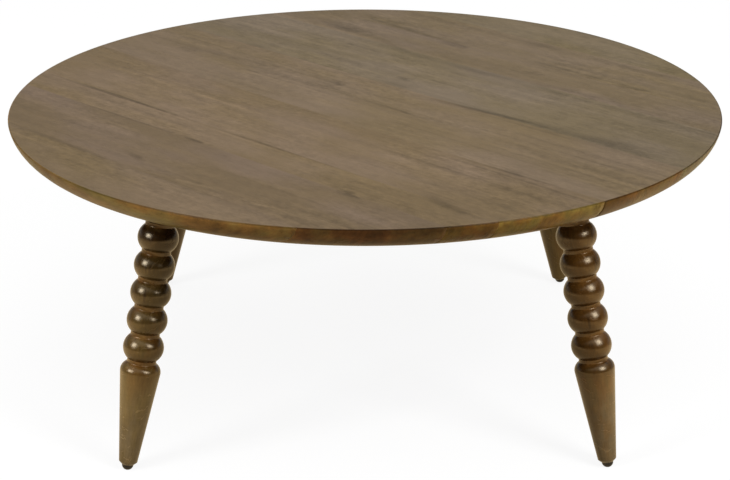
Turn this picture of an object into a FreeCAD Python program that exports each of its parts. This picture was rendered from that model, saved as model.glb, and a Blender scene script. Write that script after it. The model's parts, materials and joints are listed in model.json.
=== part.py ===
import FreeCAD, Part
import math
import os

# Round low table: a disc of edge-glued planks on four splayed, turned legs.
# Millimetres. The origin is on the floor under the middle of the top, +Z is up and -Y is the front.

# Top
top_diameter = 914.4
table_height = 376.0
top_thickness = 30.0
undercut_radius = 35.0
arris_chamfer = 1.2

# Planks: the angle of the grain, and the widths across it from the front left, ripped to fill the top
grain_angle = -45.0
plank_widths = (82.2, 117.0, 52.0, 132.0, 151.0, 137.0, 70.0, 91.0, 82.2)

# Legs, evenly round the top: lean from upright, and how far the foot stands inside the rim
leg_corners = ("back_right", "back_left", "front_left", "front_right")
first_leg_angle = 45.0
leg_splay = 12.5
foot_inset = 39.0

# Leg turning, from the top down: a row of beads, a rounded shoulder, a taper and a chamfered foot
bead_count = 6
bead_diameter = 49.3
bead_pitch = 34.4
neck_diameter = 35.4
neck_length = 4.4
top_bead_rise = 12.1
shoulder_diameter = 49.2
shoulder_length = 12.4
foot_diameter = 22.7
foot_chamfer_length = 4.2

# Glides: plastic domes under the feet, flattened where they meet the floor
glide_diameter = 14.0
glide_height = 6.0
glide_flattening = 1.0

# Nails moulded into the glides and driven into the legs
nail_diameter = 2.0
nail_head_diameter = 6.0
nail_head_thickness = 1.2
nail_head_cover = 2.2
nail_bite = 14.0

# Leg plates: a flat flange under the top with a slanted boss that the leg end bears on
flange_thickness = 3.0
flange_margin = 10.0
flange_corner_radius = 8.0
boss_diameter = 40.0
boss_least_height = 6.0

# Hanger bolts between the legs and the plates
bolt_diameter = 8.0
bolt_bite = 40.0
bolt_point_length = 8.0
bolt_end_chamfer = 1.0
bolt_end_gap = 1.0

# Countersunk screws through the flanges
plate_screw_diameter = 4.2
plate_screw_head_diameter = 8.4
plate_screw_boss_gap = 8.0

# Cross battens under the top, square to the grain
batten_width = 50.0
batten_thickness = 20.0
batten_offset = 160.0
batten_rim_gap = 60.0
batten_bevel_length = 25.0
batten_bevel_height = 12.0

# Pan-head screws through slots in the battens, which leave the top free to swell across the grain
batten_screw_diameter = 4.5
batten_screw_head_diameter = 9.0
batten_screw_head_height = 3.0
batten_screw_end_gap = 30.0
slot_play = 3.0
counterbore_depth = 3.5

# Shared by both kinds of screw
screw_point_length = 5.0
screw_cover = 11.0
recess_length = 4.6
recess_width = 1.2
recess_depth = 1.5

# Clearances
thread_clearance = 0.1
nail_clearance = 0.05
head_clearance = 0.3

# Heights and radii that follow from the sizes above
origin = FreeCAD.Vector(0, 0, 0)
up = FreeCAD.Vector(0, 0, 1)
splay = math.radians(leg_splay)
top_radius = top_diameter / 2
underside = table_height - top_thickness
screw_tip_height = table_height - screw_cover
foot_radius = top_radius - foot_inset
flange_underside = underside - flange_thickness
plate_radius = foot_radius - flange_underside * math.tan(splay)
plate_screw_offset = (boss_diameter / 2 + plate_screw_boss_gap + plate_screw_head_diameter / 2) / math.sqrt(2)
flange_size = 2 * (plate_screw_offset + flange_margin)
boss_height = boss_least_height + boss_diameter / 2 * math.tan(splay)

# The undercut is one arc that leaves the underside smoothly and rises to the chamfered upper arris
undercut_rise = top_thickness - arris_chamfer
undercut_reach = math.sqrt(undercut_radius ** 2 - (undercut_radius - undercut_rise) ** 2)
undercut_start = top_radius - undercut_reach

# Battens stop short of the undercut
batten_far_side = batten_offset + batten_width / 2
batten_half_length = math.sqrt((undercut_start - batten_rim_gap) ** 2 - batten_far_side ** 2)

# Places along the leg's axis, measured from the floor
leg_bottom = glide_height
leg_top = flange_underside / math.cos(splay) - boss_height
top_bead_centre = leg_top - top_bead_rise
lowest_neck = top_bead_centre - (bead_count - 0.5) * bead_pitch
shoulder_place = lowest_neck - neck_length / 2 - shoulder_length
taper_start = leg_bottom + foot_chamfer_length


def point(radius, height):
    """Point of a turned outline, in the XZ plane."""
    return FreeCAD.Vector(radius, 0, height)


def line(start, end):
    """Straight edge."""
    return Part.LineSegment(start, end).toShape()


def round_edge(centre, radius, start_angle, end_angle):
    """Arc in the XZ plane about a centre, between two angles in radians."""
    angles = (start_angle, (start_angle + end_angle) / 2, end_angle)
    places = [centre + point(radius * math.cos(a), radius * math.sin(a)) for a in angles]
    return Part.Arc(*places).toShape()


def dome_edge(rim_radius, crown_height, rim_height):
    """Arc of a dome that hangs down, from its crown on the axis out to its rim."""
    rise = rim_height - crown_height
    radius = (rim_radius ** 2 + rise ** 2) / (2 * rise)
    centre = point(0, crown_height + radius)
    return round_edge(centre, radius, -math.pi / 2, math.atan2(rise - radius, rim_radius))


def turned(edges):
    """Solid of revolution about Z from a closed outline in the XZ plane."""
    return Part.Face(Part.Wire(edges)).revolve(origin, up, 360)


def turned_polygon(corners):
    """Solid of revolution from straight stretches, given as radius and height pairs."""
    places = [point(*corner) for corner in corners]
    return turned([line(a, b) for a, b in zip(places, places[1:] + places[:1])])


def upright_cylinder(diameter, bottom, top):
    """Cylinder on the Z axis between two heights."""
    return Part.makeCylinder(diameter / 2, top - bottom, point(0, bottom))


def placed(shape, placement):
    """Copy of a shape moved by a placement."""
    copy = shape.copy()
    copy.Placement = placement.multiply(copy.Placement)
    return copy


def round_about(angle):
    """Placement that turns a piece about the middle of the table."""
    return FreeCAD.Placement(origin, FreeCAD.Rotation(up, angle))


def leg_placement(angle):
    """Placement of a piece drawn on the leg's own axis, with its zero where the axis meets the floor."""
    lean = FreeCAD.Rotation(FreeCAD.Vector(0, 1, 0), -leg_splay)
    return round_about(angle).multiply(FreeCAD.Placement(point(foot_radius, 0), lean))


def plate_placement(angle):
    """Placement of a piece drawn on the upright axis of a leg plate."""
    return round_about(angle).multiply(FreeCAD.Placement(point(plate_radius, 0), FreeCAD.Rotation()))


def above(shape, height):
    """What is left of a shape above a level plane."""
    reach = top_diameter
    upper_space = Part.makeBox(2 * reach, 2 * reach, reach, FreeCAD.Vector(-reach, -reach, height))
    return shape.common(upper_space)


def below(shape, height):
    """What is left of a shape below a level plane."""
    reach = top_diameter
    lower_space = Part.makeBox(2 * reach, 2 * reach, reach, FreeCAD.Vector(-reach, -reach, height - reach))
    return shape.common(lower_space)


def leg_angles():
    """Angle of each leg round the top, by the name of its corner."""
    step = 360 / len(leg_corners)
    return {corner: first_leg_angle + index * step for index, corner in enumerate(leg_corners)}


def plank_seams():
    """Places of the seams across the grain, with the planks ripped in proportion to fill the top."""
    ripping = top_diameter / sum(plank_widths)
    return [sum(plank_widths[:count]) * ripping - top_radius for count in range(1, len(plank_widths))]


def top_disc():
    """The whole top before it is divided into planks."""
    undercut_centre = point(undercut_start, underside + undercut_radius)
    rim_angle = math.atan2(undercut_rise - undercut_radius, undercut_reach)
    undercut = round_edge(undercut_centre, undercut_radius, -math.pi / 2, rim_angle)
    rim = point(top_radius, underside + undercut_rise)
    arris = point(top_radius - arris_chamfer, table_height)
    middle_low = point(0, underside)
    middle_high = point(0, table_height)
    bottom = line(middle_low, point(undercut_start, underside))
    return turned([bottom, undercut, line(rim, arris), line(arris, middle_high), line(middle_high, middle_low)])


def plank(top, low, high):
    """One board of the top, between two places across the grain."""
    corner = FreeCAD.Vector(-top_diameter, low, 0)
    slab = Part.makeBox(2 * top_diameter, high - low, table_height + top_thickness, corner)
    return top.common(placed(slab, round_about(grain_angle)))


def bead_arc(centre_height, end_height):
    """Outline of one bead, from the neck below it up to a height."""
    half = (bead_pitch - neck_length) / 2
    swell = (bead_diameter - neck_diameter) / 2
    radius = (half ** 2 + swell ** 2) / (2 * swell)
    centre = point(bead_diameter / 2 - radius, centre_height)
    start_angle = math.asin(-half / radius)
    end_angle = math.asin((end_height - centre_height) / radius)
    return round_edge(centre, radius, start_angle, end_angle)


def shoulder_arc(start, taper_direction, end):
    """Arc that leaves the taper smoothly and rounds in to the lowest neck."""
    chord = end - start
    turn = taper_direction.getAngle(chord)
    radius = chord.Length / (2 * math.sin(turn))
    inward = FreeCAD.Vector(-taper_direction.z, 0, taper_direction.x)
    centre = start + inward * radius
    start_angle = math.atan2(-inward.z, -inward.x)
    return round_edge(centre, radius, start_angle, start_angle + 2 * turn)


def bead_outline():
    """Edges of the necks and beads, from the lowest neck up to the leg's end."""
    neck_radius = neck_diameter / 2
    edges = []
    for index in range(bead_count):
        centre = top_bead_centre - (bead_count - 1 - index) * bead_pitch
        neck_top = centre - (bead_pitch - neck_length) / 2
        bead_end = leg_top if index == bead_count - 1 else neck_top + bead_pitch - neck_length
        edges.append(line(point(neck_radius, neck_top - neck_length), point(neck_radius, neck_top)))
        edges.append(bead_arc(centre, bead_end))
    return edges


def leg():
    """Turned leg on its own axis, with the holes for its bolt and its nail."""
    foot_middle = point(0, leg_bottom)
    foot_edge = point(glide_diameter / 2, leg_bottom)
    taper_low = point(foot_diameter / 2, taper_start)
    taper_high = point(shoulder_diameter / 2, shoulder_place)
    taper_direction = (taper_high - taper_low).normalize()
    first_neck = point(neck_diameter / 2, lowest_neck - neck_length / 2)
    edges = [line(foot_middle, foot_edge), line(foot_edge, taper_low), line(taper_low, taper_high)]
    edges.append(shoulder_arc(taper_high, taper_direction, first_neck))
    edges += bead_outline()
    end_middle = point(0, leg_top)
    edges.append(line(edges[-1].Vertexes[-1].Point, end_middle))
    edges.append(line(end_middle, foot_middle))
    bolt_hole = hanger_bolt(thread_clearance)
    return turned(edges).cut(bolt_hole).cut(glide_nail(nail_clearance))


def hanger_bolt(clearance):
    """Hanger bolt on the leg's axis, or with a clearance the hole that takes it."""
    radius = bolt_diameter / 2 + clearance
    low = leg_top - bolt_bite - clearance
    high = (underside - bolt_end_gap) / math.cos(splay) - bolt_diameter / 2 * math.tan(splay)
    corners = [(0, low), (radius, low + bolt_point_length), (radius, high - bolt_end_chamfer)]
    corners += [(radius - bolt_end_chamfer, high), (0, high)]
    return turned_polygon(corners)


def glide():
    """Domed plastic glide on the leg's axis, drawn before it is flattened on the floor."""
    rim = glide_diameter / 2
    crown = point(0, -glide_flattening)
    seat_middle = point(0, leg_bottom)
    dome = dome_edge(rim, crown.z, leg_bottom)
    seat = line(point(rim, leg_bottom), seat_middle)
    return turned([dome, seat, line(seat_middle, crown)]).cut(glide_nail(nail_clearance))


def glide_nail(clearance):
    """Nail on the leg's axis, or with a clearance the space that holds it."""
    head = nail_head_diameter / 2 + clearance
    shank = nail_diameter / 2 + clearance
    head_low = nail_head_cover - clearance
    head_high = nail_head_cover + nail_head_thickness + clearance
    tip = leg_bottom + nail_bite + clearance
    corners = [(0, head_low), (head, head_low), (head, head_high), (shank, head_high)]
    corners += [(shank, tip - nail_diameter), (0, tip)]
    return turned_polygon(corners)


def leg_plate():
    """Leg plate drawn on its own upright axis, at its height under the top."""
    half = flange_size / 2
    corner = FreeCAD.Vector(-half, -half, flange_underside)
    flange = Part.makeBox(flange_size, flange_size, flange_thickness, corner)
    uprights = [edge for edge in flange.Edges if abs(edge.tangentAt(edge.FirstParameter).z) > 0.5]
    flange = flange.makeFillet(flange_corner_radius, uprights)
    to_plate = plate_placement(0).inverse().multiply(leg_placement(0))
    boss = placed(upright_cylinder(boss_diameter, leg_top, leg_top + boss_height + boss_diameter), to_plate)
    plate = flange.fuse(below(boss, underside)).removeSplitter()
    bore = upright_cylinder(bolt_diameter + 2 * thread_clearance, leg_top - boss_height, leg_top + table_height)
    plate = plate.cut(placed(bore, to_plate))
    for place in plate_screw_places():
        plate = plate.cut(placed(plate_screw_blank(thread_clearance), place))
    return plate


def plate_screw_places():
    """Placements of the four screws of one plate, from the plate's axis."""
    signs = ((1, 1), (-1, 1), (-1, -1), (1, -1))
    shifts = [FreeCAD.Vector(x * plate_screw_offset, y * plate_screw_offset, 0) for x, y in signs]
    return [FreeCAD.Placement(shift, FreeCAD.Rotation()) for shift in shifts]


def plate_screw_blank(clearance):
    """Countersunk screw without its recess, or with a clearance its hole."""
    head = plate_screw_head_diameter / 2 + clearance
    shank = plate_screw_diameter / 2 + clearance
    neck = flange_underside + head - shank
    tip = screw_tip_height + clearance
    corners = [(0, flange_underside), (head, flange_underside), (shank, neck)]
    corners += [(shank, tip - screw_point_length), (0, tip)]
    return turned_polygon(corners)


def batten_screw_blank(clearance):
    """Pan-head screw without its recess, or with a clearance the hole in the planks."""
    seat = underside - batten_thickness + counterbore_depth
    low = seat - batten_screw_head_height
    head = batten_screw_head_diameter / 2 + clearance
    shank = batten_screw_diameter / 2 + clearance
    tip = screw_tip_height + clearance
    corners = [point(head, seat), point(shank, seat), point(shank, tip - screw_point_length)]
    corners += [point(0, tip), point(0, low)]
    edges = [line(a, b) for a, b in zip(corners, corners[1:])]
    return turned([dome_edge(head, low, seat)] + edges)


def with_recess(screw):
    """Screw with a cross recess in its head, which points down."""
    low = screw.BoundBox.ZMin - recess_depth
    for length, width in ((recess_length, recess_width), (recess_width, recess_length)):
        corner = FreeCAD.Vector(-length / 2, -width / 2, low)
        screw = screw.cut(Part.makeBox(length, width, 2 * recess_depth, corner))
    return screw


def batten_sides():
    """The two battens' names and the side of the middle that each lies on, along the grain."""
    return {"batten_left": -1, "batten_right": 1}


def batten_screw_offsets():
    """Places of the screws along a batten: the middle of each plank that lies well within its length."""
    limit = batten_half_length - batten_screw_end_gap
    seams = plank_seams()
    middles = [(low + high) / 2 for low, high in zip(seams, seams[1:])]
    return [middle for middle in middles if abs(middle) < limit]


def batten_screw_placement(side, offset):
    """Placement of one screw of one batten."""
    shift = FreeCAD.Vector(side * batten_offset, offset, 0)
    return round_about(grain_angle).multiply(FreeCAD.Placement(shift, FreeCAD.Rotation()))


def slot(diameter, bottom, top, middle):
    """Cutter for a slot along the batten, with play at both ends for the screw."""
    straight = Part.makeBox(diameter, 2 * slot_play, top - bottom)
    straight.translate(FreeCAD.Vector(-diameter / 2, -slot_play, bottom))
    for end in (-slot_play, slot_play):
        round_end = upright_cylinder(diameter, bottom, top)
        round_end.translate(FreeCAD.Vector(0, end, 0))
        straight = straight.fuse(round_end)
    straight.translate(FreeCAD.Vector(0, middle, 0))
    return straight


def batten(side):
    """One batten with bevelled ends and slotted screw holes."""
    low = underside - batten_thickness
    bevel_top = low + batten_bevel_height
    flat_half = batten_half_length - batten_bevel_length
    outline = [(-batten_half_length, underside), (batten_half_length, underside), (batten_half_length, bevel_top)]
    outline += [(flat_half, low), (-flat_half, low), (-batten_half_length, bevel_top)]
    corners = [FreeCAD.Vector(-batten_width / 2, along, height) for along, height in outline]
    bar = Part.Face(Part.makePolygon(corners + corners[:1])).extrude(FreeCAD.Vector(batten_width, 0, 0))
    shank = batten_screw_diameter + 2 * head_clearance
    head = batten_screw_head_diameter + 2 * head_clearance
    for offset in batten_screw_offsets():
        bar = bar.cut(slot(shank, low, underside, offset))
        bar = bar.cut(slot(head, low, low + counterbore_depth, offset))
    bar.translate(FreeCAD.Vector(side * batten_offset, 0, 0))
    return placed(bar, round_about(grain_angle))


def screw_holes():
    """Everything that is drilled into the underside of the top."""
    holes = []
    for angle in leg_angles().values():
        for place in plate_screw_places():
            holes.append(placed(plate_screw_blank(thread_clearance), plate_placement(angle).multiply(place)))
    for side in batten_sides().values():
        for offset in batten_screw_offsets():
            holes.append(placed(batten_screw_blank(thread_clearance), batten_screw_placement(side, offset)))
    return holes


def make_top():
    """Planks by name."""
    top = top_disc().cut(screw_holes())
    stops = [-top_diameter] + plank_seams() + [top_diameter]
    edges = zip(stops, stops[1:])
    return {f"plank_{number}": plank(top, low, high) for number, (low, high) in enumerate(edges, 1)}


def make_legs():
    """Legs, glides and leg plates by name."""
    pieces = {}
    for name, angle in leg_angles().items():
        pieces[f"leg_{name}"] = placed(leg(), leg_placement(angle))
        pieces[f"glide_{name}"] = above(placed(glide(), leg_placement(angle)), 0)
        pieces[f"leg_plate_{name}"] = placed(leg_plate(), plate_placement(angle))
    return pieces


def make_leg_fasteners():
    """Bolts, nails and screws of the legs, each kind as one group."""
    bolts = [placed(hanger_bolt(0), leg_placement(angle)) for angle in leg_angles().values()]
    nails = [placed(glide_nail(0), leg_placement(angle)) for angle in leg_angles().values()]
    screw = with_recess(plate_screw_blank(0))
    screws = []
    for angle in leg_angles().values():
        screws += [placed(screw, plate_placement(angle).multiply(place)) for place in plate_screw_places()]
    groups = {"hanger_bolts": bolts, "glide_nails": nails, "plate_screws": screws}
    return {name: Part.makeCompound(solids) for name, solids in groups.items()}


def make_battens():
    """Battens and their screws by name."""
    pieces = {name: batten(side) for name, side in batten_sides().items()}
    screw = with_recess(batten_screw_blank(0))
    screws = []
    for side in batten_sides().values():
        screws += [placed(screw, batten_screw_placement(side, offset)) for offset in batten_screw_offsets()]
    pieces["batten_screws"] = Part.makeCompound(screws)
    return pieces


def main():
    os.makedirs("parts", exist_ok=True)
    pieces = {**make_top(), **make_legs(), **make_leg_fasteners(), **make_battens()}
    for name, shape in pieces.items():
        shape.exportStep(f"parts/{name}.step")


main()
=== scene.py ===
import json
import math

import bmesh
import bpy
from bpy.props import FloatProperty, FloatVectorProperty, IntProperty, PointerProperty
from mathutils import Matrix, Vector

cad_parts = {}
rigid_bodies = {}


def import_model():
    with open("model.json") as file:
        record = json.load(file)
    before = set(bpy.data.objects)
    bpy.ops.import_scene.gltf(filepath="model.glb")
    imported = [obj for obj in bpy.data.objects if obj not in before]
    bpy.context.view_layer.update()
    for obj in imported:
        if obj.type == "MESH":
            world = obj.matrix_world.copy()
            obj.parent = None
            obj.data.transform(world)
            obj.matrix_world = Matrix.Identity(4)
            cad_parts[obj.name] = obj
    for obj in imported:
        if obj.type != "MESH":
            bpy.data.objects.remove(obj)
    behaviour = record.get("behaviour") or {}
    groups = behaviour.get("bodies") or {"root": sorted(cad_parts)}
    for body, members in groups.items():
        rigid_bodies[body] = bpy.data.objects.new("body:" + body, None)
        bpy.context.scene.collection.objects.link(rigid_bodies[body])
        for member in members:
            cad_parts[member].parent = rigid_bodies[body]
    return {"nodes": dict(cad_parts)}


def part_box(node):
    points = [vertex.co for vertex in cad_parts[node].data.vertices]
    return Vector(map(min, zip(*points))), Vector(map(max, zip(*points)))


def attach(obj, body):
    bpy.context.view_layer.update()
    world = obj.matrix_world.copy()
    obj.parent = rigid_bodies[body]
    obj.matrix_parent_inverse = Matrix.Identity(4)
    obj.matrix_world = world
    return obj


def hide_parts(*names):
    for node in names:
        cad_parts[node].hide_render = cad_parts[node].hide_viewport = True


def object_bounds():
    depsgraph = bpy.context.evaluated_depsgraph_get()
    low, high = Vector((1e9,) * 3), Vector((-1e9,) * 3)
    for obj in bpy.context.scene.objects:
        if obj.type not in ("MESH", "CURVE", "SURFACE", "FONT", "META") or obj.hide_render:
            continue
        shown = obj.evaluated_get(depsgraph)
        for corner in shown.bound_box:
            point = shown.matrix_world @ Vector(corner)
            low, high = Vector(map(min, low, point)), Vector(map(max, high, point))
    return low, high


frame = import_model()
cad_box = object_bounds()

bl_info = {
    "name": "Round cocktail table",
    "version": (1, 0, 0),
    "blender": (4, 5, 0),
    "location": "3D View > Sidebar > Table",
    "description": "Plank top on four splayed, turned legs, dressed over its packed solids",
    "category": "Add Mesh",
}

# Metres and degrees. The origin is on the floor under the middle of the top, +Z is up and -Y is the front.
# Grain space has its first axis along the grain, its second across it and its third up.
GRAIN_TURN = math.radians(-45.0)
ACROSS = Vector((-math.sin(GRAIN_TURN), math.cos(GRAIN_TURN), 0.0))
BATTEN_SIDES = {"batten_left": -1, "batten_right": 1}

# How far the grain is shifted from one board or leg to the next, so that no two look alike
BOARD_SHIFT = (1.37, 0.61, 0.43)
LEG_SHIFT = (0.73, 0.41, 0.57)

# Edges of turnings and of pressings stay sharp in the shading above the first two angles.
# Edges of plates and battens are rounded over above the last one.
TURNING_SHARP = math.radians(38)
PRESSING_SHARP = math.radians(40)
EASED_FROM = math.radians(28)

# Legs: the turn round the table in degrees, then the looks in the order of LEG_LOOKS
# Upper Bead Shade is painted shade that darkens the upper beads under the top, and painted light where it is
# below zero. Stain darkens the back legs as painted shade. Shoulder Darkening is part stain and part painted
# shade that dims the shoulder's highlight. Taper Pale is a drier, paler taper, and on the front right leg it
# also stands in for the light of the lamp kept off it.
LEGS = {
    "back_right": (45.0, -0.3, -0.3, 0.25, 0.6, 0.0, 0.0),
    "back_left": (135.0, 0.5, 0.6, 0.40, 0.6, 0.0, 0.0),
    "front_left": (225.0, -0.9, -0.1, 0.0, 0.9, 0.20, 0.88),
    "front_right": (315.0, -0.1, 0.7, 0.0, -0.15, 0.55, 1.0),
}
LEG_LOOKS = ("Foot Redness", "Bead Redness", "Stain", "Bead Stain", "Shoulder Stain", "Taper Pale")

# Boards from the front left, in 8-bit display values: the tone of the face, and the tones of the end grain
# at the left and at the right of the board's front end
BOARDS = (
    ("plank_1", (116, 99, 75), (106, 82, 43), (138, 108, 58)),
    ("plank_2", (117, 100, 79), (136, 104, 62), (120, 84, 44)),
    ("plank_3", (123, 105, 80), (124, 88, 40), (124, 88, 40)),
    ("plank_4", (124, 106, 82), (148, 115, 56), (148, 116, 56)),
    ("plank_5", (124, 107, 83), (94, 62, 20), (122, 90, 42)),
    ("plank_6", (122, 108, 86), (130, 104, 62), (122, 104, 70)),
    ("plank_7", (122, 106, 84), (92, 66, 34), (92, 66, 34)),
    ("plank_8", (122, 106, 82), (116, 88, 44), (116, 88, 44)),
    ("plank_9", (121, 107, 81), (112, 88, 46), (112, 88, 46)),
)

# Streaks and knots of the top, and in the last row a broad painted shade, in millimetres of grain space: the
# place along and across the grain, half the length, half the width, the turn in degrees and the darkness,
# which below zero is paler
MARKS = (
    (-240, -206, 180, 4.0, 0.3, 0.46),
    (60, -206, 170, 4.0, 0.2, 0.32),
    (-150, -257, 150, 4.0, 0.8, 0.30),
    (-40, -256, 30, 6.0, 2.0, 0.40),
    (225, -260, 18, 11.0, 0.0, 0.34),
    (335, -210, 66, 13.0, -8.0, 0.28),
    (-48, -346, 34, 6.0, -10.0, 0.24),
    (78, -360, 50, 6.0, 11.0, -0.24),
    (182, -355, 34, 4.0, 14.0, -0.28),
    (-28, -198, 40, 5.0, 2.0, -0.14),
    (-150, -374, 120, 5.0, 0.0, 0.16),
    (-266, 233, 66, 17.0, -4.0, 0.26),
    (-140, 212, 90, 13.0, -14.0, 0.14),
    (20, 206, 96, 13.0, 3.0, 0.20),
    (180, 226, 110, 10.0, 6.0, 0.14),
    (-185, 290, 115, 8.0, -3.0, 0.26),
    (-98, 281, 34, 16.0, 0.0, 0.26),
    (148, 204, 66, 8.0, -14.0, 0.14),
    (214, 288, 40, 7.0, 10.0, 0.26),
    (86, 290, 76, 15.0, 0.0, 0.18),
    (-7, 360, 40, 22.0, 0.0, 0.16),
    (75, 251, 15, 10.0, 0.0, 0.24),
    (-31, 110, 16, 10.0, 20.0, 0.32),
    (-27, 84, 30, 15.0, 0.0, 0.16),
    (-90, 28, 42, 24.0, 24.0, 0.20),
    (-250, 22, 170, 13.0, 4.7, 0.14),
    (130, 77, 110, 7.0, 3.5, 0.38),
    (230, 84, 150, 12.0, 2.0, 0.16),
    (340, 92, 84, 22.0, 6.0, 0.24),
    (60, 4, 76, 4.5, -3.0, 0.18),
    (-200, -4, 90, 6.0, 20.0, 0.12),
    (-346, 0, 22, 14.0, 0.0, 0.16),
    (-293, 81, 30, 11.0, 0.0, 0.14),
    (314, -70, 28, 13.0, 0.0, 0.18),
    (330, -74, 100, 5.0, 2.0, 0.22),
    (178, 233, 28, 13.0, 10.0, -0.16),
    (-39, -39, 44, 16.0, 0.0, -0.12),
    (149, -99, 22, 12.0, 0.0, -0.14),
    (209, 39, 18, 10.0, 0.0, -0.14),
    (-7, -28, 130, 28.0, 0.0, -0.06),
    # Painted shade, not grain: a broad darkening of the face towards its right end
    (390, 0, 220, 620.0, 0.0, 0.13),
)
MILLIMETRE = 0.001

# Lamps: the place, the aim, the size, the size of the paler edge and the edge's share of the lamp's power
LAMPS = {
    "left_lamp": ((-2.73, -1.80, 1.95), (-0.26, -0.26, 0.22), (1.1, 1.1), (1.8, 1.8), 0.8),
    "right_lamp": ((2.31, -2.17, 2.60), (0.26, -0.26, 0.22), (1.25, 1.5), (2.3, 2.6), 1.0),
}
KEPT_OFF = {"left_lamp": ("leg_front_right_turning", "leg_back_left_turning"), "right_lamp": ()}


def paint(red, green, blue):
    """Scene-linear colour from 8-bit display values."""
    shares = (value / 255 for value in (red, green, blue))
    return tuple(s / 12.92 if s <= 0.04045 else ((s + 0.055) / 1.055) ** 2.4 for s in shares)


def across_grain(place):
    """How far across the grain a place lies."""
    return place.x * ACROSS.x + place.y * ACROSS.y


def board_reach(node):
    """Lowest and highest place of a board across the grain, read from the frame."""
    reaches = [across_grain(corner.co) for corner in frame["nodes"][node].data.vertices]
    return min(reaches), max(reaches)


class TopSizes(bpy.types.PropertyGroup):
    """Sizes and tones of the plank top."""

    radius: FloatProperty(
        name="Radius", description="From the middle to the rim", default=cad_box[1].x, unit="LENGTH")
    height: FloatProperty(
        name="Height", description="From the floor to the face", default=cad_box[1].z, unit="LENGTH")
    underside: FloatProperty(
        name="Underside", description="From the floor to the underside",
        default=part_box("plank_5")[0].z, unit="LENGTH")
    undercut: FloatProperty(
        name="Undercut radius", description="Radius of the sweep under the rim",
        default=0.035, unit="LENGTH")
    arris: FloatProperty(
        name="Arris radius", description="Rounding of the upper rim", default=0.0012, unit="LENGTH")
    rim_steps: IntProperty(
        name="Rim steps", description="Facets round the rim", default=360, min=48)
    warm: FloatVectorProperty(
        name="Warm cast", description="Tint of the warmer streaks",
        default=(1.022, 0.997, 0.895), subtype="COLOR", max=2.0)
    cool: FloatVectorProperty(
        name="Cool cast", description="Tint of the greyer streaks",
        default=(1.0, 0.99, 1.07), subtype="COLOR", max=2.0)
    # Paler tone of the arris: partly wear, partly a painted highlight
    arris_wear_and_highlight: FloatVectorProperty(
        name="Arris wear and highlight", description="Tone of the rim's edge where it is rubbed",
        default=paint(124, 105, 60), subtype="COLOR")
    dry: FloatVectorProperty(
        name="Bare underside", description="Tone of the unlacquered underside",
        default=paint(138, 112, 80), subtype="COLOR")


class LegSizes(bpy.types.PropertyGroup):
    """Sizes and tones of the turned legs."""

    splay: FloatProperty(
        name="Splay", description="Lean from upright", default=math.radians(12.5), subtype="ANGLE")
    foot_inset: FloatProperty(
        name="Foot inset", description="How far the foot stands inside the rim",
        default=0.039, unit="LENGTH")
    bead_count: IntProperty(
        name="Beads", description="Beads in the row, the top one cut by the leg's end", default=6, min=1)
    bead_diameter: FloatProperty(
        name="Bead diameter", description="Across the middle of a bead", default=0.0493, unit="LENGTH")
    bead_pitch: FloatProperty(
        name="Bead pitch", description="From bead to bead", default=0.0344, unit="LENGTH")
    neck_diameter: FloatProperty(
        name="Neck diameter", description="Across the necks", default=0.0354, unit="LENGTH")
    neck_length: FloatProperty(
        name="Neck length", description="Straight stretch between beads", default=0.0044, unit="LENGTH")
    top_bead_rise: FloatProperty(
        name="Top bead rise", description="From the middle of the top bead to the leg's end",
        default=0.0121, unit="LENGTH")
    shoulder_diameter: FloatProperty(
        name="Shoulder diameter", description="Across the top of the taper", default=0.0492, unit="LENGTH")
    shoulder_length: FloatProperty(
        name="Shoulder length", description="From the taper to the lowest neck",
        default=0.0124, unit="LENGTH")
    foot_diameter: FloatProperty(
        name="Foot diameter", description="Across the bottom of the taper", default=0.0227, unit="LENGTH")
    foot_chamfer: FloatProperty(
        name="Foot chamfer", description="Length of the chamfer above the glide",
        default=0.0042, unit="LENGTH")
    corner_ease: FloatProperty(
        name="Corner ease", description="Rounding left by sanding and lacquer in the corners",
        default=0.0011, unit="LENGTH")
    hand: FloatProperty(
        name="Hand of the turner", description="Most that a bead differs from the next",
        default=0.0002, unit="LENGTH")
    olive: FloatVectorProperty(
        name="Olive brown", description="Tone of the paler grain",
        default=paint(116, 92, 46), subtype="COLOR")
    russet: FloatVectorProperty(
        name="Russet brown", description="Tone of the warmer grain",
        default=paint(114, 76, 31), subtype="COLOR")
    # The dark stain tone also paints shade on the upper beads, the shoulders and the back legs
    stain: FloatVectorProperty(
        name="Dark stain", description="Tone of the dark grain and of the stained beads",
        default=paint(44, 25, 6), subtype="COLOR")
    # The dry tone also paints light on the front right leg's taper
    dry: FloatVectorProperty(
        name="Dry brown", description="Tone of the taper, where the lacquer is thin",
        default=paint(110, 94, 68), subtype="COLOR")


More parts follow.
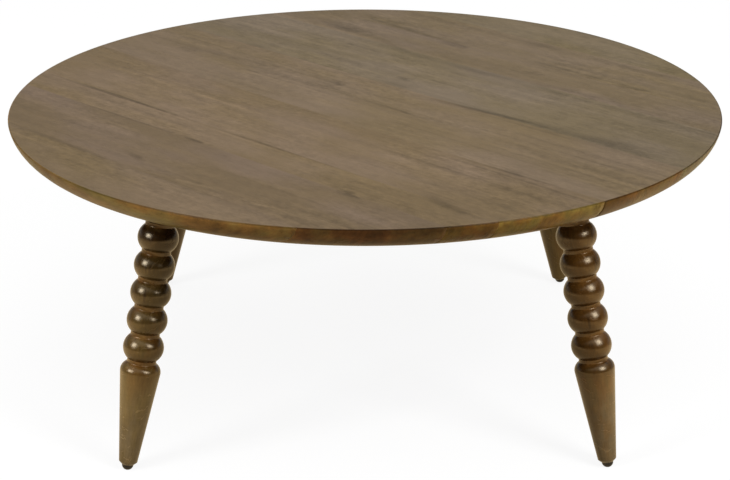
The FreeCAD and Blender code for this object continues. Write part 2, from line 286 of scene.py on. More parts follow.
class HardwareSizes(bpy.types.PropertyGroup):
    """Sizes and tones of glides, plates, screws and battens."""

    glide_diameter: FloatProperty(
        name="Glide diameter", description="Across the seat of the glide", default=0.014, unit="LENGTH")
    glide_height: FloatProperty(
        name="Glide height", description="From the floor to the leg", default=0.006, unit="LENGTH")
    glide_flattening: FloatProperty(
        name="Glide flattening", description="How much of the dome the floor takes",
        default=0.001, unit="LENGTH")
    flange_thickness: FloatProperty(
        name="Flange thickness", description="Thickness of the leg plates", default=0.003, unit="LENGTH")
    boss_diameter: FloatProperty(
        name="Boss diameter", description="Across the slanted boss", default=0.040, unit="LENGTH")
    boss_least_height: FloatProperty(
        name="Boss height", description="Least height of the slanted boss", default=0.006, unit="LENGTH")
    plate_head: FloatProperty(
        name="Plate screw head", description="Across the countersunk heads", default=0.0084, unit="LENGTH")
    plate_shank: FloatProperty(
        name="Plate screw", description="Across the shank", default=0.0042, unit="LENGTH")
    plate_screw_gap: FloatProperty(
        name="Plate screw gap", description="From the boss to the screw heads",
        default=0.008, unit="LENGTH")
    batten_head: FloatProperty(
        name="Batten screw head", description="Across the pan heads", default=0.009, unit="LENGTH")
    batten_head_height: FloatProperty(
        name="Pan head height", description="Height of the pan heads", default=0.003, unit="LENGTH")
    batten_shank: FloatProperty(
        name="Batten screw", description="Across the shank", default=0.0045, unit="LENGTH")
    batten_offset: FloatProperty(
        name="Batten offset", description="From the middle of the top, along the grain",
        default=0.160, unit="LENGTH")
    batten_end_gap: FloatProperty(
        name="Screw end gap", description="Least way from a batten's end to a screw",
        default=0.030, unit="LENGTH")
    counterbore: FloatProperty(
        name="Counterbore", description="Depth of the screw seats in the battens",
        default=0.0035, unit="LENGTH")
    screw_cover: FloatProperty(
        name="Screw cover", description="Wood left above the screw points", default=0.011, unit="LENGTH")
    recess: FloatVectorProperty(
        name="Recess", description="Length, width and depth of the cross recess",
        default=(0.0046, 0.0012, 0.0015), unit="LENGTH")
    ease: FloatProperty(
        name="Edge ease", description="Rounding of the edges of plates and battens",
        default=0.0005, unit="LENGTH")


class StageSizes(bpy.types.PropertyGroup):
    """Camera, lamps and floor of the studio."""

    lens: FloatProperty(
        name="Lens", description="Focal length on a 36 mm wide sensor, in millimetres", default=102.08)
    camera_distance: FloatProperty(
        name="Camera distance", description="From the table's axis to the camera",
        default=2.561, unit="LENGTH")
    camera_height: FloatProperty(
        name="Camera height", description="From the floor to the camera", default=1.1936, unit="LENGTH")
    camera_pitch: FloatProperty(
        name="Camera pitch", description="How far the camera looks down",
        default=math.radians(21.517), subtype="ANGLE")
    camera_turn: FloatProperty(
        name="Camera turn", description="How far the camera stands round to the left of the front",
        default=math.radians(0.694), subtype="ANGLE")
    left_level: FloatProperty(
        name="Left lamp", description="Power of the lamp at the front left, in watts", default=58.0)
    right_level: FloatProperty(
        name="Right lamp", description="Power of the lamp at the front right, in watts", default=76.0)
    overhead_level: FloatProperty(
        name="Overhead light", description="Brightness of the soft light from above", default=0.99)
    side_level: FloatProperty(
        name="Side light", description="Brightness of the soft light from the sides", default=0.03)
    floor_glow: FloatProperty(
        name="Floor white", description="Share of the floor's white that no shadow takes", default=0.88)
    floor_gloss: FloatProperty(
        name="Floor in the gloss", description="Brightness of the floor that the lacquer shows",
        default=0.66)
    floor_warmth: FloatVectorProperty(
        name="Floor warmth", description="Tint of the floor that the lacquer shows",
        default=(1.0, 0.73, 0.37), subtype="COLOR")


class Amount:
    """A value in a node tree that plain arithmetic can use."""

    def __init__(self, bench, socket):
        self.bench = bench
        self.socket = socket

    def __add__(self, other):
        return self.bench.math("ADD", self, other)

    def __radd__(self, other):
        return self.bench.math("ADD", other, self)

    def __sub__(self, other):
        return self.bench.math("SUBTRACT", self, other)

    def __rsub__(self, other):
        return self.bench.math("SUBTRACT", other, self)

    def __mul__(self, other):
        return self.bench.math("MULTIPLY", self, other)

    def __rmul__(self, other):
        return self.bench.math("MULTIPLY", other, self)

    def __truediv__(self, other):
        return self.bench.math("DIVIDE", self, other)


class Bench:
    """Lays nodes in one tree and wires them together."""

    def __init__(self, tree):
        self.tree = tree
        self.laid = 0

    def node(self, kind, inputs=None, **settings):
        """New node with its settings, and its inputs fed by name or place."""
        made = self.tree.nodes.new(kind)
        row, column = divmod(self.laid, 14)
        made.location = (220 * column, -280 * row)
        self.laid += 1
        for name, value in settings.items():
            setattr(made, name, value)
        for key, value in (inputs or {}).items():
            self.feed(made.inputs[key], value)
        return made

    def feed(self, socket, value):
        """Links a value of the tree to a socket, or sets a plain one on it."""
        if isinstance(value, Amount):
            self.tree.links.new(value.socket, socket)
        else:
            socket.default_value = value

    def read(self, node, output=0):
        """One output of a node."""
        return Amount(self, node.outputs[output])

    def made(self, kind, inputs=None, output=0, **settings):
        """One output of a new node."""
        return self.read(self.node(kind, inputs, **settings), output)

    def math(self, operation, *values):
        """Number from one of the math node's operations."""
        return self.made("ShaderNodeMath", dict(enumerate(values)), operation=operation)

    def vector(self, operation, *values):
        """Vector from one of the vector math node's operations."""
        return self.made("ShaderNodeVectorMath", dict(enumerate(values)), operation=operation)

    def scaled(self, vector, share):
        """Vector or colour multiplied by a number."""
        return self.made("ShaderNodeVectorMath", {0: vector, "Scale": share}, operation="SCALE")

    def length(self, vector):
        """Length of a vector."""
        return self.made("ShaderNodeVectorMath", {0: vector}, operation="LENGTH", output="Value")

    def parts(self, vector):
        """The three numbers of a vector."""
        made = self.node("ShaderNodeSeparateXYZ", {0: vector})
        return [self.read(made, output) for output in range(3)]

    def joined(self, *numbers):
        """Vector from three numbers."""
        return self.made("ShaderNodeCombineXYZ", dict(enumerate(numbers)))

    def ramp(self, value, low, high, at_low=0.0, at_high=1.0):
        """Smooth step of a value from one level to another."""
        inputs = {0: value, 1: low, 2: high, 3: at_low, 4: at_high}
        return self.made("ShaderNodeMapRange", inputs, interpolation_type="SMOOTHSTEP")

    def noise(self, place, stretch, detail=2.0, roughness=0.5):
        """Noise with so many cells to the metre along each axis."""
        inputs = {"Vector": self.vector("MULTIPLY", place, stretch), "Scale": 1.0}
        inputs.update({"Detail": detail, "Roughness": roughness})
        return self.made("ShaderNodeTexNoise", inputs)

    def blend(self, share, first, second, kind="MIX"):
        """Colour between two colours."""
        made = self.node("ShaderNodeMix", {0: share, 6: first, 7: second}, data_type="RGBA", blend_type=kind)
        return self.read(made, 2)

    def attribute(self, name, output="Fac"):
        """Attribute that the piece's mesh carries."""
        return self.made("ShaderNodeAttribute", attribute_name=name, output=output)

    def pick(self, index, values):
        """The value whose place in a list is the index."""
        made = self.node("GeometryNodeIndexSwitch", data_type="FLOAT")
        while len(made.index_switch_items) < len(values):
            made.index_switch_items.new()
        for place, value in enumerate([index, *values]):
            self.feed(made.inputs[place], value)
        return self.read(made)


def fresh_bench(owner):
    """Bench on the emptied node tree of a material or a world."""
    owner.use_nodes = True
    owner.node_tree.nodes.clear()
    return Bench(owner.node_tree)


def new_finish(name, **values):
    """Material with one principled shader, its bench and that shader."""
    material = bpy.data.materials.new(name)
    bench = fresh_bench(material)
    surface = bench.node("ShaderNodeBsdfPrincipled", values)
    bench.node("ShaderNodeOutputMaterial", {"Surface": bench.read(surface)})
    return material, bench, surface


def opaque(colour):
    """Colour with its alpha."""
    return (*colour, 1.0)


def grey(share):
    """Opaque grey of one brightness."""
    return (share, share, share, 1.0)


WHITE = grey(1.0)


def object_place(bench):
    """Place on the piece, in metres of the table's own frame."""
    return bench.made("ShaderNodeTexCoord", output="Object")


def grain_place(bench):
    """Place on the piece, in metres of grain space."""
    turned = {"Vector": object_place(bench), "Rotation": (0.0, 0.0, -GRAIN_TURN)}
    return bench.made("ShaderNodeMapping", turned)


def relief(bench, surface, height, depth, strength):
    """Fine relief from a height pattern."""
    bump = bench.node("ShaderNodeBump", {"Height": height, "Distance": depth, "Strength": strength})
    bench.feed(surface.inputs["Normal"], bench.read(bump))


def node_tree(name, kind, inputs, output):
    """Empty node tree with named inputs and one output: its bench, and its inputs by name."""
    tree = bpy.data.node_groups.new(name, kind)
    label, socket = output
    tree.interface.new_socket(label, in_out="OUTPUT", socket_type="NodeSocket" + socket)
    for label, socket in inputs:
        tree.interface.new_socket(label, in_out="INPUT", socket_type="NodeSocket" + socket)
    bench = Bench(tree)
    start = bench.node("NodeGroupInput")
    return bench, {label: bench.read(start, label) for label, _ in inputs}


MARK_INPUTS = (
    ("Place", "Vector"), ("Middle", "Vector"), ("Turn", "Vector"), ("Half Size", "Vector"),
    ("Darkness", "Float"),
)


def mark_group():
    """Node group for one mark: an oval in grain space that fades towards its edge, for a streak, a knot or a
    broad painted shade.
    """
    bench, mark = node_tree("oval_mark", "ShaderNodeTree", MARK_INPUTS, ("Shade", "Float"))
    inputs = {"Vector": mark["Place"], "Location": mark["Middle"]}
    inputs.update({"Rotation": mark["Turn"], "Scale": mark["Half Size"]})
    oval = bench.made("ShaderNodeMapping", inputs, vector_type="TEXTURE")
    shade = bench.ramp(bench.length(oval), 1.0, 0.1, 0.0, mark["Darkness"])
    bench.node("NodeGroupOutput", {"Shade": shade})
    return bench.tree


def marks_on(bench, place):
    """Sum of all the streaks and knots, and of the broad painted shade, at a place in grain space."""
    group = mark_group()
    through_the_top = 1000.0
    total = 0.0
    for along, across, half_length, half_width, turn, darkness in MARKS:
        inputs = {
            "Place": place, "Darkness": darkness, "Turn": (0.0, 0.0, math.radians(turn)),
            "Middle": (along * MILLIMETRE, across * MILLIMETRE, 0.0),
            "Half Size": (half_length * MILLIMETRE, half_width * MILLIMETRE, through_the_top),
        }
        total = bench.made("ShaderNodeGroup", inputs, node_tree=group) + total
    return total


def plank_wood(top):
    """Oiled and lacquered boards: a solid grain that shows as streaks on the face and as rings on the rim."""
    material, bench, surface = new_finish("plank_wood", **{"Specular IOR Level": 0.1})
    grain = grain_place(bench)
    place = bench.vector("ADD", grain, bench.attribute("board_shift", "Vector"))
    wander = bench.noise(place, (3.0, 9.0, 9.0)) - 0.5
    wood = bench.vector("ADD", place, bench.joined(0.0, wander * 0.005, wander * 0.005))
    fine = bench.noise(wood, (1.3, 190.0, 140.0), 3.0, 0.6)
    streak = bench.noise(wood, (1.0, 55.0, 45.0), 3.0, 0.6)
    flecks = bench.noise(wood, (150.0, 230.0, 230.0), 2.0)
    mottle = bench.noise(wood, (50.0, 85.0, 80.0), 3.0, 0.55)
    patch = bench.noise(wood, (5.0, 15.0, 14.0), 3.0, 0.55)
    cast = bench.ramp(bench.noise(wood, (5.0, 15.0, 14.0), 2.0, 0.5), 0.34, 0.66)
    pores = bench.ramp(bench.noise(wood, (46.0, 1500.0, 900.0), 1.0), 0.60, 0.72)
    ragged = bench.joined((mottle - 0.5) * 0.06, (patch - 0.5) * 0.010, 0.0)
    marks = marks_on(bench, bench.vector("ADD", grain, ragged))

    # The lacquered face, with its grain stronger in some stretches than in others
    figure = bench.ramp(bench.noise(wood, (4.0, 11.0, 10.0), 2.0), 0.36, 0.64, 0.55, 1.3)
    vein = bench.noise(wood, (1.6, 170.0, 90.0), 2.0, 0.5)
    veins = bench.ramp(vein, 0.60, 0.72) - bench.ramp(vein, 0.40, 0.28) * 0.7
    lines = (fine - 0.5) * 0.30 + (streak - 0.5) * 0.50 - veins * 0.12
    dots = (flecks - 0.5) * 0.36 + (mottle - 0.5) * 0.48
    shade = 1.0 + (lines + dots) * figure + (patch - 0.5) * 0.55
    shade = (shade - marks) * (1.0 - pores * 0.16)
    tint = bench.blend(cast, opaque(top.warm), opaque(top.cool))
    face = bench.scaled(bench.blend(1.0, bench.attribute("board_tone", "Color"), tint, "MULTIPLY"), shade)

    # The rim, with a darker band under the face in the middle of the front, and an arris painted paler along
    # part of it, as wear and a painted highlight, and darker along the rest, as painted shade
    rings = bench.noise(wood, (26.0, 90.0, 60.0), 4.0, 0.65)
    bands = bench.noise(wood, (9.0, 34.0, 30.0), 3.0, 0.6)
    side, _, height = bench.parts(object_place(bench))
    arris_band = bench.ramp(height, top.height - 0.0022, top.height - 0.0004)
    # Darker band of the rim just under the face, in the middle of the front
    front_band = bench.ramp(side, -0.12, -0.03) * bench.ramp(side, 0.14, 0.07)
    front_band = front_band * bench.ramp(height, top.height - 0.013, top.height - 0.003)
    end_shade = 1.0 + (rings - 0.5) * 1.9 + (bands - 0.5) * 0.9 + (fine - 0.5) * 0.4 - pores * 0.25
    end_shade = end_shade * (1.0 - front_band * 0.55)
    russet_cast, olive_cast = (1.14, 0.93, 0.78, 1.0), (0.94, 1.06, 0.96, 1.0)
    end_tint = bench.blend(bench.ramp(bands, 0.36, 0.64), russet_cast, olive_cast)
    ends = bench.blend(1.0, bench.attribute("end_tone", "Color"), end_tint, "MULTIPLY")
    lightened = bench.ramp(bench.parts(grain)[0], 0.05, -0.10)
    # Painted shade: the arris is darkened outside the paler stretch
    ends = bench.scaled(ends, end_shade * (1.0 - arris_band * (1.0 - lightened) * 0.6))
    # Wear and painted highlight: the paler arris tone along part of the arris
    ends = bench.blend(arris_band * lightened * bench.ramp(patch, 0.42, 0.58) * 0.5, ends, opaque(top.arris_wear_and_highlight))

    # The bare underside
    bare_shade = 1.0 + (streak - 0.5) * 0.5 + (fine - 0.5) * 0.6 - pores * 0.3
    bare = bench.scaled(tuple(top.dry), bare_shade)

    rim = bench.attribute("rim_part")
    under = bench.attribute("under_part")
    colour = bench.blend(under, bench.blend(rim, face, ends), bare)
    bench.feed(surface.inputs["Base Color"], colour)
    gloss = 0.44 + (patch - 0.5) * 0.20 + (fine - 0.5) * 0.16 + pores * 0.12
    gloss = gloss - rim * 0.14 + under * 0.28
    bench.feed(surface.inputs["Roughness"], gloss)
    relief(bench, surface, fine * 0.6 + mottle * 0.5 + flecks * 0.4 - pores * 0.8, 0.0003, 0.30)
    return material


def leg_wood(leg):
    """Stained and lacquered turning, grain along the leg, darker on the beads and redder in the necks, with
    painted shade on the upper beads, the shoulders and the back legs, and painted light on the front right
    leg's upper beads and taper.
    """
    material, bench, surface = new_finish(
        "leg_wood", **{"Specular IOR Level": 0.6, "Specular Tint": (1.0, 0.84, 0.60, 1.0)})
    place = bench.attribute("lathe_place", "Vector")
    groove = bench.attribute("groove")
    wander = bench.noise(place, (9.0, 9.0, 5.0)) - 0.5
    wood = bench.vector("ADD", place, bench.joined(wander * 0.012, wander * 0.009, 0.0))
    fine = bench.noise(wood, (420.0, 420.0, 22.0), 3.0, 0.6)
    streak = bench.noise(wood, (95.0, 95.0, 10.0), 4.0, 0.6)
    mottle = bench.noise(wood, (70.0, 70.0, 38.0), 3.0, 0.6)
    cast = bench.ramp(bench.noise(wood, (36.0, 36.0, 10.0), 3.0, 0.6), 0.36, 0.64)
    pores = bench.ramp(bench.noise(wood, (1500.0, 1500.0, 60.0), 1.0), 0.60, 0.72)
    dark = bench.ramp(streak, 0.50, 0.78)
    slant = bench.parts(place)[0] * 0.7 + (streak - 0.5) * 0.02
    scratch_place = bench.vector("ADD", place, bench.joined(0.0, 0.0, slant))
    scratches = bench.ramp(bench.noise(scratch_place, (58.0, 58.0, 240.0), 2.0, 0.5), 0.62, 0.74)

    olive_share = cast - bench.attribute("redness") - groove * 0.8
    tone = bench.blend(olive_share, opaque(leg.russet), opaque(leg.olive))
    # The stain attribute holds the beads' own stain together with painted shade, and the dark stain tone
    # paints both
    stained = bench.math("MINIMUM", (dark * 0.65 + bench.attribute("stain")) * (1.0 - groove * 0.5), 1.0)
    tone = bench.blend(stained, tone, opaque(leg.stain))
    # Paler taper: drier wood, and on the front right leg also painted light
    pale = bench.attribute("pale")
    dryness = bench.ramp(bench.noise(place, (60.0, 60.0, 26.0), 3.0, 0.6), 0.34, 0.62, 0.45, 0.90)
    tone = bench.blend(pale * dryness, tone, opaque(leg.dry))
    shade = 1.02 + (fine - 0.5) * 0.6 + (streak - 0.5) * 0.6 + (mottle - 0.5) * 0.9 - pores * 0.18
    tool_rings = bench.noise(place, (12.0, 12.0, 650.0), 2.0)
    neck_marks = bench.noise(place, (48.0, 48.0, 340.0), 2.0, 0.6)
    shade = shade + (tool_rings - 0.5) * 0.22 + (neck_marks - 0.5) * groove * 1.6
    # The paler taper is also brightened towards the foot, on the front right leg partly as painted light
    shade = (shade + scratches * (0.2 + pale * 0.3)) * (1.0 + bench.math("POWER", pale, 4.0) * 0.15)
    bench.feed(surface.inputs["Base Color"], bench.scaled(tone, shade))
    gloss = 0.215 + (streak - 0.5) * 0.12 + (fine - 0.5) * 0.12 + scratches * 0.2
    bench.feed(surface.inputs["Roughness"], gloss)
    relief(bench, surface, fine * 0.5 + streak * 0.4 - pores * 0.6 - scratches * 0.5, 0.0003, 0.12)
    return material


def batten_wood():
    """Planed batten, lightly stained, with the grain along its length."""
    material, bench, surface = new_finish("batten_wood", **{"Specular IOR Level": 0.35})
    grain = grain_place(bench)
    wander = bench.noise(grain, (16.0, 3.0, 16.0)) - 0.5
    wood = bench.vector("ADD", grain, bench.joined(wander * 0.010, 0.0, wander * 0.010))
    fine = bench.noise(wood, (300.0, 7.0, 300.0), 3.0, 0.6)
    streak = bench.noise(wood, (70.0, 3.5, 70.0), 4.0, 0.6)
    pores = bench.ramp(bench.noise(wood, (1400.0, 50.0, 1400.0), 1.0), 0.60, 0.72)
    chatter = bench.noise(grain, (3.0, 190.0, 3.0), 1.0)
    darker, paler = opaque(paint(124, 96, 62)), opaque(paint(142, 112, 76))
    tone = bench.blend(bench.ramp(streak, 0.36, 0.64), darker, paler)
    shade = 1.0 + (fine - 0.5) * 0.55 - pores * 0.25
    bench.feed(surface.inputs["Base Color"], bench.scaled(tone, shade))
    bench.feed(surface.inputs["Roughness"], 0.62 + (streak - 0.5) * 0.2)
    relief(bench, surface, fine * 0.6 - pores * 0.7 + chatter * 0.3, 0.0003, 0.35)
    return material


def plated_steel(name, tone, sheen, roughness):
    """Zinc-plated steel with clouded passivation and fine scuffs."""
    material, bench, surface = new_finish(name, Metallic=1.0)
    place = object_place(bench)
    cloud = bench.noise(place, (70.0, 70.0, 70.0), 4.0, 0.65)
    grit = bench.noise(place, (2600.0, 2600.0, 2600.0), 2.0)
    scuffs = bench.ramp(bench.noise(place, (30.0, 900.0, 400.0), 2.0), 0.62, 0.74)
    colour = bench.blend(bench.ramp(cloud, 0.35, 0.65), opaque(tone), opaque(sheen))
    bench.feed(surface.inputs["Base Color"], bench.scaled(colour, 1.0 - scuffs * 0.15))
    bench.feed(surface.inputs["Roughness"], roughness + (cloud - 0.5) * 0.25 + scuffs * 0.15)
    relief(bench, surface, grit * 0.4 - scuffs, 0.0001, 0.2)
    return material


def glide_plastic():
    """Near-black moulded plastic, scuffed grey where it rubs on the floor."""
    material, bench, surface = new_finish("glide_plastic", **{"Specular IOR Level": 0.45})
    place = object_place(bench)
    spark = bench.noise(place, (3200.0, 3200.0, 3200.0), 2.0)
    cloud = bench.noise(place, (400.0, 400.0, 400.0), 3.0, 0.6)
    low = bench.ramp(bench.parts(place)[2], 0.0022, 0.0002)
    lightened = low * bench.ramp(cloud, 0.42, 0.62)
    colour = bench.blend(lightened, opaque(paint(24, 21, 19)), opaque(paint(70, 64, 58)))
    bench.feed(surface.inputs["Base Color"], bench.scaled(colour, 1.0 + (cloud - 0.5) * 0.4))
    bench.feed(surface.inputs["Roughness"], 0.42 + lightened * 0.3 + (spark - 0.5) * 0.2)
    relief(bench, surface, spark, 0.0001, 0.25)
    return material


def shape_tree(name, inputs):
    """Empty geometry tree: its bench, and its inputs by name."""
    return node_tree(name, "GeometryNodeTree", inputs, ("Shape", "Geometry"))


def stored(bench, shape, name, value, kind="FLOAT"):
    """Shape with one more attribute on its points."""
    made = bench.node("GeometryNodeStoreNamedAttribute", {"Geometry": shape, "Name": name}, data_type=kind)
    bench.feed(made.inputs["Value"], value)
    return bench.read(made)


def named(bench, name):
    """Number attribute of a shape's points."""
    return bench.made("GeometryNodeInputNamedAttribute", {"Name": name}, data_type="FLOAT")


def turning_rows(bench, count, radius, height, ease, groove=0.0):
    """Points of a turning's outline, each with the ease of its corner and how deep it lies in a groove."""
    place = bench.joined(radius, 0.0, height)
    rows = bench.made("GeometryNodePoints", {"Count": count, "Position": place})
    return stored(bench, stored(bench, rows, "ease", ease), "groove", groove)


def turned_on_lathe(bench, rows, steps):
    """Closed turning about the upright axis from the rows of its outline, joined from the bottom up."""
    corner_facets = 4
    height = bench.parts(bench.made("GeometryNodeInputPosition"))[2]
    outline = bench.made("GeometryNodePointsToCurves", {"Points": rows, "Weight": height})
    eased = {"Curve": outline, "Count": corner_facets, "Radius": named(bench, "ease"), "Limit Radius": True}
    outline = bench.made("GeometryNodeFilletCurve", eased, mode="POLY")
    radius, _, height = bench.parts(bench.made("GeometryNodeInputPosition"))
    outline = stored(bench, outline, "turned_radius", radius)
    straight = {"Geometry": outline, "Position": bench.joined(0.0, 0.0, height)}
    axis = bench.made("GeometryNodeSetPosition", straight)
    ring = bench.made("GeometryNodeCurvePrimitiveCircle", {"Resolution": steps, "Radius": 1.0})
    swept = {"Curve": axis, "Profile Curve": ring, "Scale": named(bench, "turned_radius"), "Fill Caps": True}
    return bench.made("GeometryNodeCurveToMesh", swept)


def joined_shapes(bench, *shapes):
    """Several shapes as one."""
    made = bench.node("GeometryNodeJoinGeometry")
    for shape in shapes:
        bench.feed(made.inputs[0], shape)
    return bench.read(made)


def moved(bench, shape, shift=(0.0, 0.0, 0.0), turn=(0.0, 0.0, 0.0)):
    """Shape turned, then shifted."""
    made = bench.node("GeometryNodeTransform", {"Geometry": shape})
    bench.feed(made.inputs["Translation"], shift)
    bench.feed(made.inputs["Rotation"], turn)
    return bench.read(made)


def euler(bench, x=0.0, y=0.0, z=0.0):
    """Rotation from three angles."""
    return bench.made("FunctionNodeEulerToRotation", {0: bench.joined(x, y, z)})


def set_on_leg(bench, shape, size):
    """Shape drawn on the leg's own axis, leaned and set round the table."""
    outward = bench.joined(size["Foot Radius"], 0.0, 0.0)
    leaned = moved(bench, shape, outward, euler(bench, y=size["Splay"] * -1.0))
    return moved(bench, leaned, turn=euler(bench, z=size["Turn"]))


def finished(bench, shape, material):
    """Last nodes of a tree: smooth faces, real geometry and its material."""
    smooth = bench.made("GeometryNodeSetShadeSmooth", {"Geometry": shape})
    real = bench.made("GeometryNodeRealizeInstances", {"Geometry": smooth})
    dressed = bench.made("GeometryNodeSetMaterial", {"Geometry": real, "Material": material})
    bench.node("NodeGroupOutput", {"Shape": dressed})
    return bench.tree


LEG_PLACE = (("Splay", "Float"), ("Turn", "Float"), ("Foot Radius", "Float"))
LEG_INPUTS = LEG_PLACE + (
    ("Bead Count", "Int"), ("Bead Steps", "Int"), ("Ring Steps", "Int"), ("Seed", "Int"),
    ("Bead Diameter", "Float"), ("Bead Pitch", "Float"), ("Neck Diameter", "Float"), ("Neck Length", "Float"),
    ("Top Bead Rise", "Float"), ("Shoulder Diameter", "Float"), ("Shoulder Length", "Float"),
    ("Foot Diameter", "Float"), ("Foot Chamfer", "Float"), ("End Diameter", "Float"),
    ("Leg Bottom", "Float"), ("Leg Top", "Float"), ("Corner Ease", "Float"), ("Hand", "Float"),
    ("Grain Shift", "Vector"), ("Foot Redness", "Float"), ("Bead Redness", "Float"), ("Bead Stain", "Float"),
    ("Stain", "Float"), ("Shoulder Stain", "Float"), ("Taper Pale", "Float"), ("Finish", "Material"),
)


def bead_rows(bench, size):
    """Rows of all the beads: each one an arc between two necks, and the top one cut at the leg's end."""
    steps = size["Bead Steps"]
    index = bench.made("GeometryNodeInputIndex")
    number = bench.math("FLOOR", (index + 0.5) / (steps + 1.0))
    share = (index - number * (steps + 1.0)) / steps
    half = (size["Bead Pitch"] - size["Neck Length"]) * 0.5
    swell = (size["Bead Diameter"] - size["Neck Diameter"]) * 0.5
    arc = (half * half + swell * swell) / (swell * 2.0)
    from_top = size["Bead Count"] - 1.0 - number
    middle = size["Leg Top"] - size["Top Bead Rise"] - from_top * size["Bead Pitch"]
    reach = bench.math("ARCSINE", half / arc)
    cut = bench.math("ARCSINE", size["Top Bead Rise"] / arc)
    end = reach + bench.math("LESS_THAN", from_top, 0.5) * (cut - reach)
    angle = share * (end + reach) - reach
    bare = bench.math("ABSOLUTE", angle) / reach
    seeds = {"ID": bench.math("ROUND", number), "Seed": size["Seed"], 2: size["Hand"] * -1.0, 3: size["Hand"]}
    hand = bench.made("FunctionNodeRandomValue", seeds, data_type="FLOAT", output=1)
    radius = size["Bead Diameter"] * 0.5 - arc + arc * bench.math("COSINE", angle) + hand * (1.0 - bare)
    height = middle + arc * bench.math("SINE", angle)
    corner = bench.math("GREATER_THAN", bench.math("ABSOLUTE", share - 0.5), 0.499)
    groove = bench.math("POWER", bench.math("MINIMUM", bare, 1.0), 5.0)
    count = size["Bead Count"] * (steps + 1.0)
    return turning_rows(bench, count, radius, height, corner * size["Corner Ease"], groove)


def lowest_neck_bottom(size):
    """Height of the neck over the shoulder, at its lower end."""
    lowest_bead = size["Leg Top"] - size["Top Bead Rise"] - (size["Bead Count"] - 1.0) * size["Bead Pitch"]
    return lowest_bead - (size["Bead Pitch"] + size["Neck Length"]) * 0.5


def shoulder_rows(bench, size, steps):
    """Rows of the shoulder: an arc that leaves the taper smoothly and rounds in to the lowest neck."""
    share = bench.made("GeometryNodeInputIndex") / steps
    neck = lowest_neck_bottom(size)
    start_radius = size["Shoulder Diameter"] * 0.5
    start_height = neck - size["Shoulder Length"]
    rise_radius = start_radius - size["Foot Diameter"] * 0.5
    rise_height = start_height - size["Leg Bottom"] - size["Foot Chamfer"]
    chord_radius = size["Neck Diameter"] * 0.5 - start_radius
    chord_height = size["Shoulder Length"]
    cross = rise_radius * chord_height - rise_height * chord_radius
    along = rise_radius * chord_radius + rise_height * chord_height
    turn = bench.math("ARCTAN2", cross, along)
    chord = bench.math("SQRT", chord_radius * chord_radius + chord_height * chord_height)
    arc = chord / (bench.math("SINE", turn) * 2.0)
    first = bench.math("ARCTAN2", rise_radius * -1.0, rise_height)
    angle = first + turn * 2.0 * share
    radius = start_radius + arc * (bench.math("COSINE", angle) - bench.math("COSINE", first))
    height = start_height + arc * (bench.math("SINE", angle) - bench.math("SINE", first))
    corner = bench.math("GREATER_THAN", share, 0.999)
    groove = bench.math("POWER", share, 5.0)
    return turning_rows(bench, steps + 1, radius, height, corner * size["Corner Ease"], groove)


def taper_rows(bench, size, steps):
    """Rows of the foot: its flat end, the chamfer and the plain taper up to the shoulder."""
    index = bench.made("GeometryNodeInputIndex")
    is_end = bench.math("LESS_THAN", index, 0.5)
    share = (index - 1.0) / (steps - 1.0) * (1.0 - is_end)
    low = size["Leg Bottom"] + size["Foot Chamfer"]
    high = lowest_neck_bottom(size) - size["Shoulder Length"]
    foot_radius = size["Foot Diameter"] * 0.5
    radius = foot_radius + share * (size["Shoulder Diameter"] * 0.5 - foot_radius)
    radius = radius - is_end * (foot_radius - size["End Diameter"] * 0.5)
    height = low + share * (high - low) - is_end * size["Foot Chamfer"]
    corner = bench.math("LESS_THAN", bench.math("ABSOLUTE", index - 1.0), 0.5)
    return turning_rows(bench, steps, radius, height, corner * size["Corner Ease"])


def leg_tree():
    """Geometry tree of a turned leg."""
    bench, size = shape_tree("turned_leg", LEG_INPUTS)
    taper_steps, shoulder_steps = 14, 12
    outline = (taper_rows(bench, size, taper_steps), shoulder_rows(bench, size, shoulder_steps))
    rows = joined_shapes(bench, *outline, bead_rows(bench, size))
    shape = turned_on_lathe(bench, rows, size["Ring Steps"])
    place = bench.made("GeometryNodeInputPosition")
    grain = bench.vector("ADD", place, size["Grain Shift"])
    shape = stored(bench, shape, "lathe_place", grain, "FLOAT_VECTOR")
    height = bench.parts(place)[2]
    neck = lowest_neck_bottom(size)
    redness = bench.ramp(height, neck * 0.4, neck * 1.2, size["Foot Redness"], size["Bead Redness"])
    shape = stored(bench, shape, "redness", redness)
    # Painted shade: the stain grows towards the top of the leg, where the top shades the upper beads; below
    # zero it lightens them as painted light
    rise = bench.math("MAXIMUM", (height - neck) / (size["Leg Top"] - neck) * 0.9 + 0.1, 0.0)
    base_stain = 0.46
    first_bead = neck + size["Bead Pitch"] * 0.5
    beads = bench.ramp(height, neck - size["Shoulder Length"], first_bead, 0.0, base_stain)
    # The shoulder is darkened, partly as stain and partly as painted shade that dims its highlight
    shoulder = bench.ramp(height, neck - size["Shoulder Length"] * 2.5, neck - size["Shoulder Length"] * 0.5)
    shoulder = shoulder * bench.ramp(height, first_bead, neck) * size["Shoulder Stain"]
    # Stain darkens a whole leg: on the back legs it is painted shade under the top
    stain = beads + shoulder + rise * rise * rise * size["Bead Stain"] + size["Stain"]
    shape = stored(bench, shape, "stain", stain)
    # Paler, drier taper; on the front right leg, which the left lamp is kept off, it also stands in for that
    # lamp's light as painted light
    taper = bench.ramp(height, neck, neck * 0.4)
    shape = stored(bench, shape, "pale", taper * size["Taper Pale"])
    return finished(bench, set_on_leg(bench, shape, size), size["Finish"])


GLIDE_INPUTS = LEG_PLACE + (
    ("Diameter", "Float"), ("Height", "Float"), ("Flattening", "Float"), ("Finish", "Material"))


